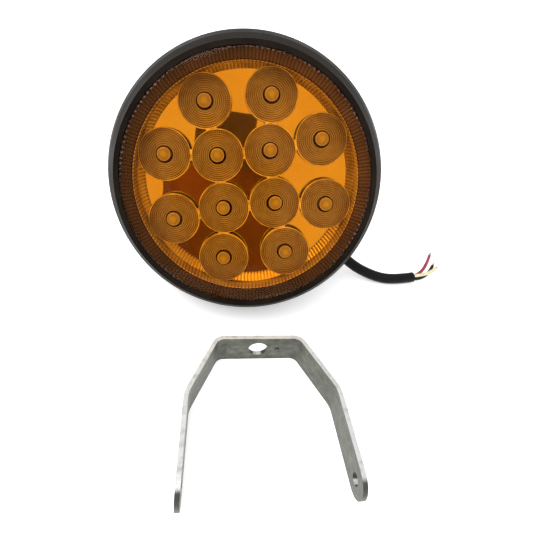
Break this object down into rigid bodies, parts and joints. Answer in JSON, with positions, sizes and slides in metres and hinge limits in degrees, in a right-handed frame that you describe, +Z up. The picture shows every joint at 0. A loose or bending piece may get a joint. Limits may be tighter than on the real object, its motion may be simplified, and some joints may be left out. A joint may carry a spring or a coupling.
{
  "type": "amber LED warning and work lamp head with detached strap bracket",
  "caption": "Round amber lamp head with clear collimator optics behind a flat lens, a black flared bezel, a short cut lead and a loose galvanised strap bracket.",
  "frame": {"origin": "on the table, below the middle of the box round the lamp and the bracket without the lead", "axes": "+Z up from the table, +Y from the bracket towards the lamp's back, +X to the right of a person who looks at the lamp's face"},
  "size_m": [0.1898, 0.199, 0.1221],
  "materials": {
    "amber_lens": "clear amber, polished",
    "black_rubber": "matt",
    "black_bezel": "semi-gloss black",
    "maroon_trim": "ribbed, dark",
    "mirror_plate": "bright",
    "clear_optic": "clear moulded optic",
    "led_yellow": "phosphor yellow",
    "white_board": "white solder mask",
    "bare_aluminium": "machined",
    "wire_sleeve": "insulation",
    "black_casting": "powder coat",
    "screw_steel": "plain",
    "green_board": "solder mask",
    "capacitor_sleeve": "sleeve",
    "ferrite": "matt",
    "chip_plastic": "moulded",
    "terminal_plastic": "moulded",
    "insert_brass": "turned",
    "zinc_bolt": "zinc plated",
    "gland_plastic": "moulded",
    "lead_sheath": "satin",
    "red_core": "insulation",
    "white_core": "insulation",
    "black_core": "insulation",
    "bare_copper": "stranded",
    "galvanised_steel": "galvanised"
  },
  "bodies": {
    "lamp": {"front_lens": "amber_lens", "lens_gasket": "maroon_trim", "bezel_ring": "black_bezel", "fluted_ring": "mirror_plate", "optics_holder": "mirror_plate", "collimator_01": "clear_optic", "collimator_02": "clear_optic", "collimator_03": "clear_optic", "collimator_04": "clear_optic", "collimator_05": "clear_optic", "collimator_06": "clear_optic", "collimator_07": "clear_optic", "collimator_08": "clear_optic", "collimator_09": "clear_optic", "collimator_10": "clear_optic", "collimator_11": "clear_optic", "collimator_12": "clear_optic", "led_01": "led_yellow", "led_02": "led_yellow", "led_03": "led_yellow", "led_04": "led_yellow", "led_05": "led_yellow", "led_06": "led_yellow", "led_07": "led_yellow", "led_08": "led_yellow", "led_09": "led_yellow", "led_10": "led_yellow", "led_11": "led_yellow", "led_12": "led_yellow", "led_board": "white_board", "heat_spreader": "bare_aluminium", "led_wires": "wire_sleeve", "housing": "black_casting", "housing_screws": "screw_steel", "driver_box": "black_casting", "box_screws": "screw_steel", "cover_gasket": "black_rubber", "rear_cover": "black_casting", "cover_screws": "screw_steel", "driver_board": "green_board", "board_screws": "screw_steel", "filter_capacitor": "capacitor_sleeve", "inductor": "ferrite", "controller_chip": "chip_plastic", "terminal_block": "terminal_plastic", "pivot_insert_left": "insert_brass", "pivot_insert_right": "insert_brass", "pivot_bolts": "zinc_bolt", "pivot_washers": "zinc_bolt", "cable_gland": "gland_plastic", "gland_nut": "gland_plastic", "lead_jacket": "lead_sheath", "core_red": "red_core", "core_white": "white_core", "core_black": "black_core", "conductor_tips": "bare_copper"},
    "bracket": {"bracket_strap": "galvanised_steel"}
  },
  "joints": [
    {"name": "bracket_tilt", "type": "hinge", "parent": "lamp", "child": "bracket", "pos_m": [0.01956, -0.08762, 0.008], "axis": [0.9942, 0.108, 0], "range_deg": [0, 145]}
  ]
}
